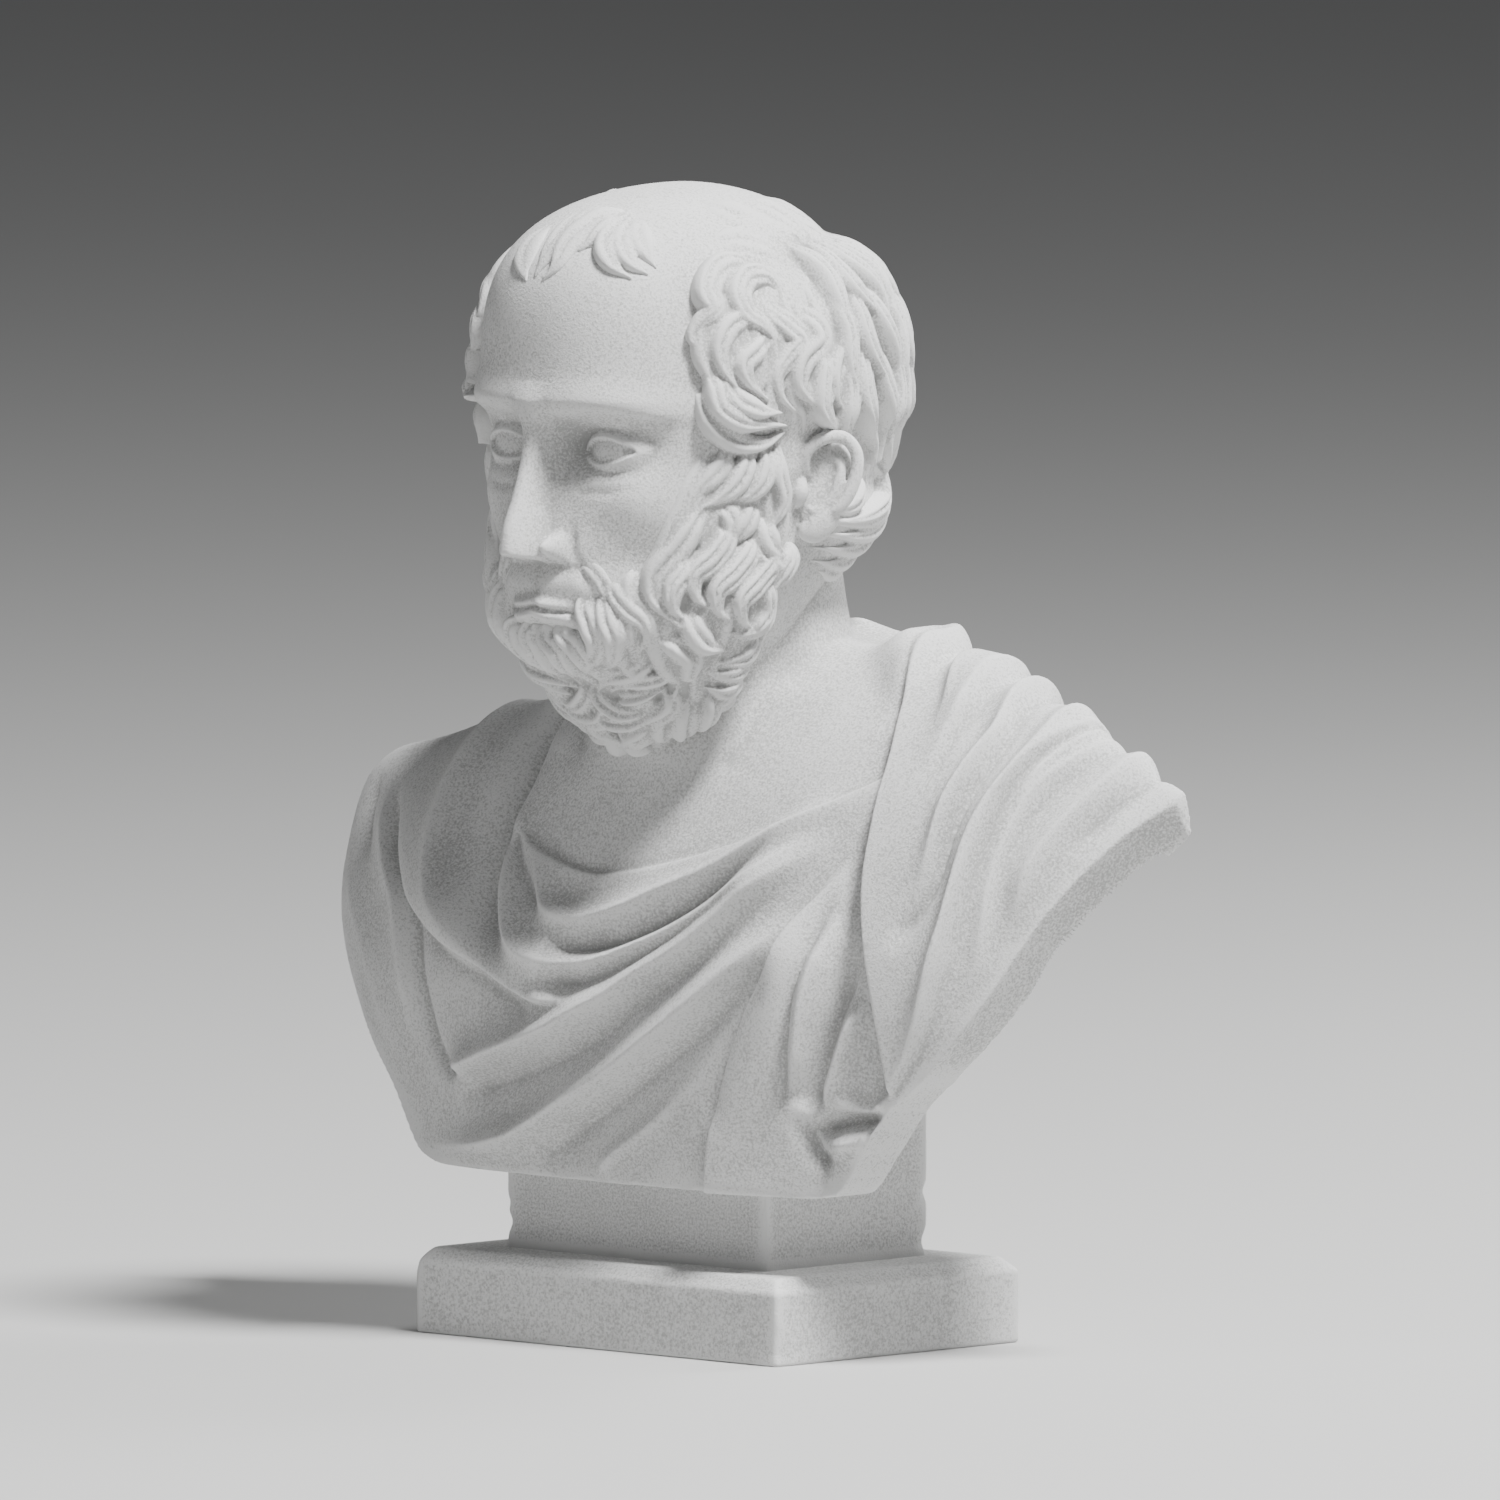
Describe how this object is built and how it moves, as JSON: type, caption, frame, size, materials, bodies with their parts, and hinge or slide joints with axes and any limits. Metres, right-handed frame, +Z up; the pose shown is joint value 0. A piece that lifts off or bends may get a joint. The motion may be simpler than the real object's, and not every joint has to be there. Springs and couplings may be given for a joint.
{
  "type": "resin portrait bust",
  "caption": "Classical portrait bust of a bearded man in a draped cloak, cast in pale matte resin and set on its own square plinth.",
  "frame": {"origin": "middle of the plinth's underside", "axes": "+Z up, the figure faces -Y, its left shoulder is at +X"},
  "size_m": [0.288, 0.1312, 0.2996],
  "materials": {
    "resin": "matte, fine sandy grain"
  },
  "bodies": {
    "root": {"bust": "resin", "plinth": "resin"}
  },
  "joints": []
}
